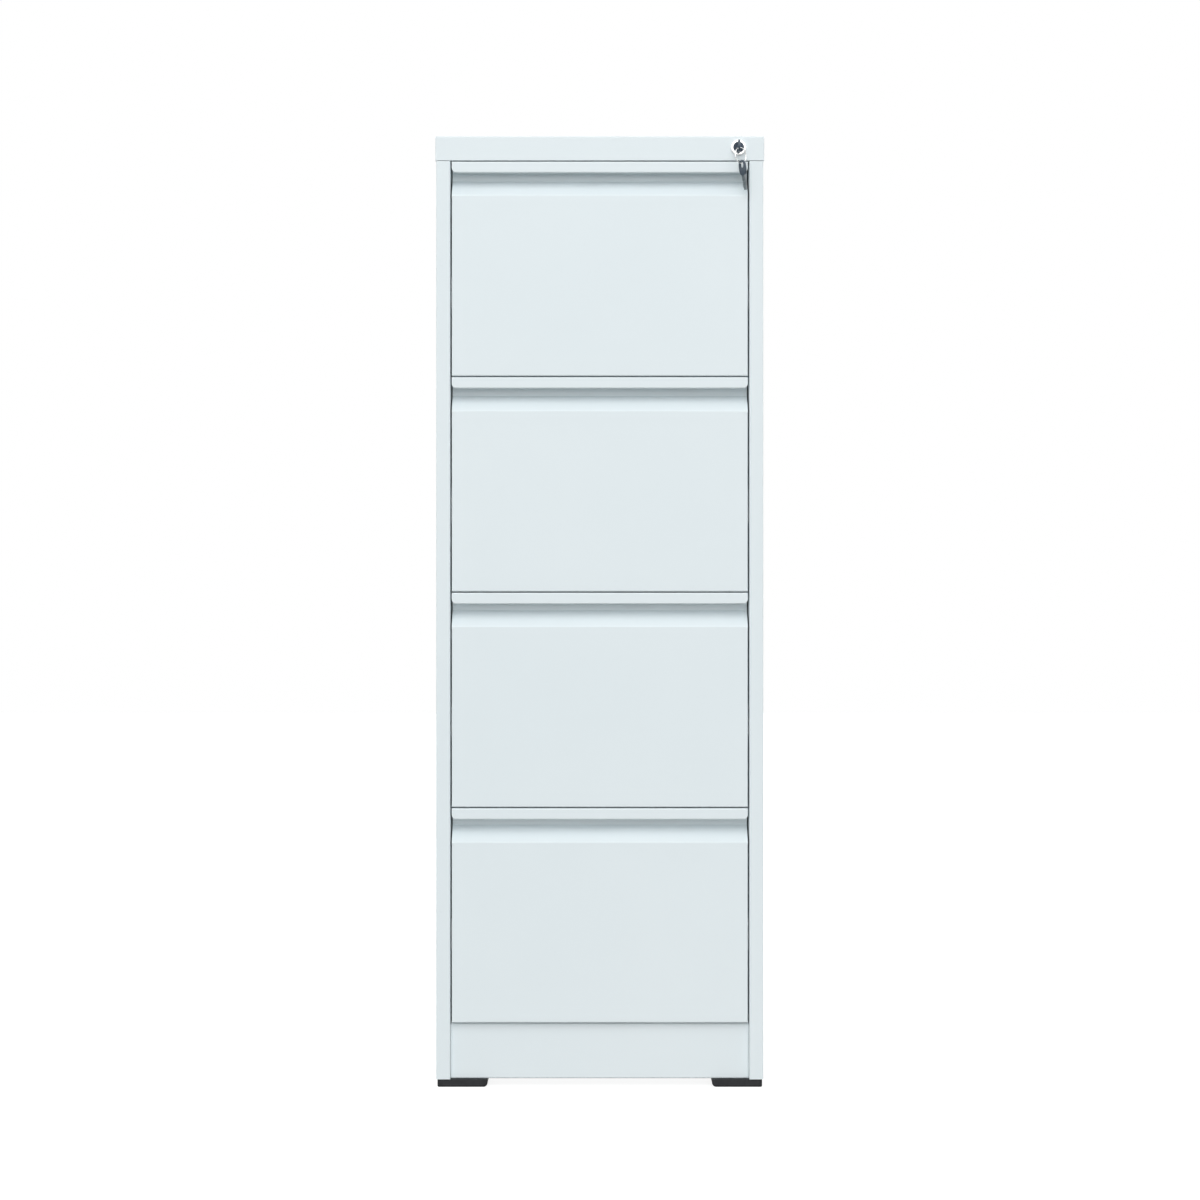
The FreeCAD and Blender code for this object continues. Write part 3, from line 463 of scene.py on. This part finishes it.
# %% [markdown]
# ### The lock's barrel and collar
# A cam lock is die-cast and turned: a bright collar sits on the sheet, and a threaded barrel goes through it.
# Spinning one closed profile gives the rolled rim, the bevel down to the plug and the thread's ridges in one
# surface, with softer curves than the CAD collar's single rounding.

# %% Barrel and collar
COLLAR_R, COLLAR_H, ROLL_R = 11.0, 3.0, 1.5
BORE_R, BARREL_R, BARREL_L = 7.07, 9.35, 22.0
THREAD_PITCH, THREAD_DEEP, THREAD_START = 1.0, 0.45, 2.0
BEVEL_R, BEVEL_PLAY, BORE_LIP = 0.6, 0.05, 1.0
COLLAR_EDGE, SHOULDER_L = 0.25, 1.5

rolled_rim = curve_arc((COLLAR_R - ROLL_R, -COLLAR_H + ROLL_R), ROLL_R, -90, 0, 10)
bevel = curve_arc((BORE_R + BEVEL_R + BEVEL_PLAY, -COLLAR_H + BEVEL_R), BEVEL_R, -180, -90, 6)
ridges = np.arange(THREAD_START, BARREL_L - THREAD_PITCH, THREAD_PITCH / 2)
thread = np.stack([BARREL_R - THREAD_DEEP * (np.arange(len(ridges)) % 2), ridges], axis=1)
barrel_profile = np.concatenate([
    [(BORE_R, -COLLAR_H + BORE_LIP)], bevel, rolled_rim,
    [(COLLAR_R, -COLLAR_EDGE), (COLLAR_R - COLLAR_EDGE, 0.0), (BARREL_R, 0.0), (BARREL_R, SHOULDER_L)],
    thread,
    [(BARREL_R - THREAD_DEEP, BARREL_L), (BORE_R, BARREL_L)],
]) * MM
barrel_shell = turned(barrel_profile, (LOCK_X, FRONT, LOCK_Z), (0, 1, 0), (1, 0, 0), steps=96)
lock_barrel = build_piece("lock_barrel_and_collar", [(barrel_shell, True, True)], "carcass", "lock_chrome")
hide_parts("lock_housing")

# %% [markdown]
# ### The split ring
# Keys hang on a ring coiled from spring wire: two turns lie against each other, and a short step carries the
# wire from one turn to the other. A tube is carried along that path. The step is a smooth ramp of the offset
# across the ring, so the two turns touch everywhere else.

# %% Split ring
ring_low, ring_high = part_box("key_ring")
RING_R = 11.0 * MM
COIL_WIRE_R, COIL_OFFSET = 0.40 * MM, 0.395 * MM
RING_TURN, COIL_END_GAP = math.radians(45), math.radians(8)
ring_middle = np.array([(a + b) / 2 for a, b in zip(ring_low, ring_high)])
ring_axis = np.array([math.sin(RING_TURN), -math.cos(RING_TURN), 0.0])
ring_flat = np.array([math.cos(RING_TURN), math.sin(RING_TURN), 0.0])
ring_up = np.array([0.0, 0.0, 1.0])


def coiled_wire(steps=200, sides=12, start_deg=-60.0, step_deg=26.0):
    """Wire over nearly two turns: at angle t the middle is at radius R, offset across the ring by
    COIL_OFFSET times a value that goes smoothly from -1 to 1 over step_deg in the middle of the path."""
    turns = np.linspace(0, 4 * np.pi - COIL_END_GAP, steps)
    ramp = np.clip((turns - turns.mean()) / math.radians(step_deg) + 0.5, 0, 1)
    offset = COIL_OFFSET * (2 * (3 * ramp ** 2 - 2 * ramp ** 3) - 1)
    t = turns + math.radians(start_deg)
    out = np.cos(t)[:, None] * ring_flat + np.sin(t)[:, None] * ring_up
    middle = ring_middle + out * RING_R + offset[:, None] * ring_axis
    s = np.linspace(0, 2 * np.pi, sides, endpoint=False)
    section = np.cos(s)[None, :, None] * out[:, None] + np.sin(s)[None, :, None] * ring_axis
    tube = middle[:, None] + COIL_WIRE_R * section
    ends = [np.repeat(middle[:1, None], sides, axis=1), np.repeat(middle[-1:, None], sides, axis=1)]
    return np.concatenate([ends[0], tube, ends[1]])


split_ring = build_piece("split_key_ring", [(coiled_wire(), False, True)], "key_ring", "lock_chrome")
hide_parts("key_ring")
print("ring middle", ring_middle.round(4))

# %% [markdown]
# ### Balls and cages in the slides
# A telescopic slide runs on two rows of steel balls above and two below, held apart by thin cages. They show
# when a drawer is open. Each cage travels between the two members it separates; here it rides on the middle
# member, placed so that it stays between both members over the whole travel. A ball has only a few dozen
# faces, because there are hundreds.

# %% Balls and cages
DRAWERS, PITCH, CAP_H = 4, 301.5, 34.0
SLIDE_Z, SLIDE_START, SLIDE_L = 120.0, 26.0, 550.0
BALL_SPACING, CAGE_L, CAGE_INSET = 18.0, 200.0, 12
OUTER_RACE = {"x": 203.9, "z": 19.8, "ball": 1.7, "half": 2.8,
              "start": SLIDE_START + SLIDE_L - CAGE_INSET - CAGE_L}
INNER_RACE = {"x": 202.6, "z": 14.8, "ball": 1.5, "half": 1.35, "start": SLIDE_START + CAGE_INSET}
CAGE_T = 0.5


def ball(middle, radius, rows=7, columns=8):
    """A small sphere: radius * (sin a cos b, sin a sin b, cos a) about its middle."""
    a = np.linspace(0, np.pi, rows)[:, None]
    b = np.linspace(0, 2 * np.pi, columns, endpoint=False)[None, :]
    unit = np.stack([np.sin(a) * np.cos(b), np.sin(a) * np.sin(b), np.cos(a) * np.ones_like(b)], axis=-1)
    return np.array(middle) + radius * unit


def bar_shell(low, high):
    """A closed strip along Y: its four-cornered section carried from one end to the other, ends pinched."""
    x = np.array([low[0], high[0], high[0], low[0]])
    z = np.array([low[2], low[2], high[2], high[2]])
    y = np.array([low[1], low[1], high[1], high[1]])
    section = np.stack([np.broadcast_to(x, (4, 4)), np.repeat(y[:, None], 4, axis=1),
                        np.broadcast_to(z, (4, 4))], axis=-1).astype(float)
    section[0, :, 0] = section[3, :, 0] = x.mean()
    section[0, :, 2] = section[3, :, 2] = z.mean()
    return section


def race_shells(race, side, up, height):
    """One cage with its balls, on one side of the drawer, above or below the slide's middle."""
    x, z = side * race["x"], height + up * race["z"]
    start = FRONT / MM + race["start"]
    low = (x - race["half"], start, z - CAGE_T / 2)
    high = (x + race["half"], start + CAGE_L, z + CAGE_T / 2)
    shells = [(bar_shell(low, high) * MM, False, True)]
    for y in np.arange(start + BALL_SPACING / 2, start + CAGE_L, BALL_SPACING):
        shells.append((ball((x, y, z), race["ball"]) * MM, False, True))
    return shells


for number in range(1, DRAWERS + 1):
    height = HEIGHT / MM - CAP_H - PITCH * number + SLIDE_Z
    shells = []
    for race in (OUTER_RACE, INNER_RACE):
        for side in (1, -1):
            for up in (1, -1):
                shells += race_shells(race, side, up, height)
    build_piece(f"slide_balls_{number}", shells, f"slide_middle_{number}", "zinc_plate", smooth_deg=50)

# %% [markdown]
# ### Screws with a cross recess
# The slides and the back are held by wafer-head screws. A head is a height above its seat as a function of
# distance from the middle and angle: a low dome, minus a cross whose arms get shallower outwards.

# %% Wafer-head screws
HEAD_R, HEAD_H, HEAD_RIM, HEAD_SOFT = 4.5, 1.2, 0.55, 0.15
DOME_FALL, SHANK_R, SHANK_L, POINT_L = 0.45, 1.95, 6.0, 1
CROSS_R, CROSS_HALF, CROSS_DEEP = 2.3, 0.42, 0.95
CROSS_SIDE, CROSS_END, CROSS_RISE = 0.2, 0.5, 0.3
SCREW_ROWS, SCREW_COLUMNS = 13, 40


def crossed_screw(seat, towards, across):
    """Rows run from the middle of the head outwards, over the rim, under it and down the shank to its point:
    height = dome(r) - cross(r, t), where the dome falls with the cube of r."""
    r = np.linspace(0, HEAD_R - HEAD_SOFT, SCREW_ROWS)[:, None]
    t = np.linspace(0, 2 * np.pi, SCREW_COLUMNS, endpoint=False)[None, :]
    dome = HEAD_H - DOME_FALL * (r / HEAD_R) ** 3
    arm = np.minimum(np.abs(r * np.sin(t)), np.abs(r * np.cos(t)))
    inside = np.clip((CROSS_HALF - arm) / CROSS_SIDE, 0, 1) * np.clip((CROSS_R - r) / CROSS_END, 0, 1)
    height = dome - CROSS_DEEP * inside * (1 - CROSS_RISE * r / CROSS_R)
    rest = np.array([(HEAD_R, HEAD_RIM), (HEAD_R, 0.0), (SHANK_R, 0.0), (SHANK_R, -SHANK_L + POINT_L),
                     (0.0, -SHANK_L)])
    radii = np.concatenate([np.broadcast_to(r, height.shape), np.repeat(rest[:, :1], SCREW_COLUMNS, axis=1)])
    heights = np.concatenate([height, np.repeat(rest[:, 1:], SCREW_COLUMNS, axis=1)])
    out, across = -np.array(towards, float), np.array(across, float)
    spoke = np.cos(t[0])[:, None] * across + np.sin(t[0])[:, None] * np.cross(out, across)
    points = np.array(seat, float) + heights[..., None] * out + radii[..., None] * spoke[None]
    return points * MM


# %% Screw places
DEPTH = 620.0
REAR = FRONT / MM + DEPTH - HEAD_H
UPRIGHT_X, SLIDE_SCREW_FRONT, SLIDE_SCREW_REAR = 207.8, 5, 55
BACK_SCREW_X, BACK_SCREW_LOW, BACK_SCREW_SPAN, BACK_SCREW_ROWS = 220, 60, 1190, 4
CAP_SCREW_X, CAP_SCREW_UP = 150, 12
screws = []
for number in range(1, DRAWERS + 1):
    height = HEIGHT / MM - CAP_H - PITCH * number + SLIDE_Z
    for y in (FRONT / MM + SLIDE_START + SLIDE_SCREW_FRONT, REAR - SLIDE_SCREW_REAR):
        for side in (1, -1):
            screws.append(((side * UPRIGHT_X, y, height), (side, 0, 0), (0, 1, 0)))
for row in range(BACK_SCREW_ROWS):
    for x in (-BACK_SCREW_X, BACK_SCREW_X):
        z = BACK_SCREW_LOW + BACK_SCREW_SPAN * row / (BACK_SCREW_ROWS - 1)
        screws.append(((x, REAR, z), (0, -1, 0), (1, 0, 0)))
for x in (-CAP_SCREW_X, 0, CAP_SCREW_X):
    screws.append(((x, REAR, HEIGHT / MM - CAP_H + CAP_SCREW_UP), (0, -1, 0), (1, 0, 0)))
screw_shells = [(crossed_screw(*place), False, True) for place in screws]
wafer_screws = build_piece("wafer_head_screws", screw_shells, "carcass", "zinc_plate", smooth_deg=40)
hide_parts("carcass_screws")

# %% [markdown]
# ### Spot welds
# The uprights are spot-welded to the folded stiles. The electrode leaves a shallow dish with a soft rim that
# shows faintly through the paint, about as wide as a pencil.

# %% Spot welds
WELD_X, WELD_TOP = 221.0, 1152.0
DISH = np.array([(0, -0.02), (1.6, -0.03), (2.3, -0.11), (2.8, -0.08), (3.3, 0.02), (3.3, 0.3), (0, 0.3)])
welds = []
for side in (1, -1):
    for number in range(DRAWERS):
        seat = (side * WELD_X * MM, FRONT, (WELD_TOP - PITCH * number) * MM)
        welds.append((turned(DISH * MM, seat, (0, 1, 0), (1, 0, 0), steps=28), False, True))
build_piece("spot_welds", welds, "carcass", "white_paint", smooth_deg=60)
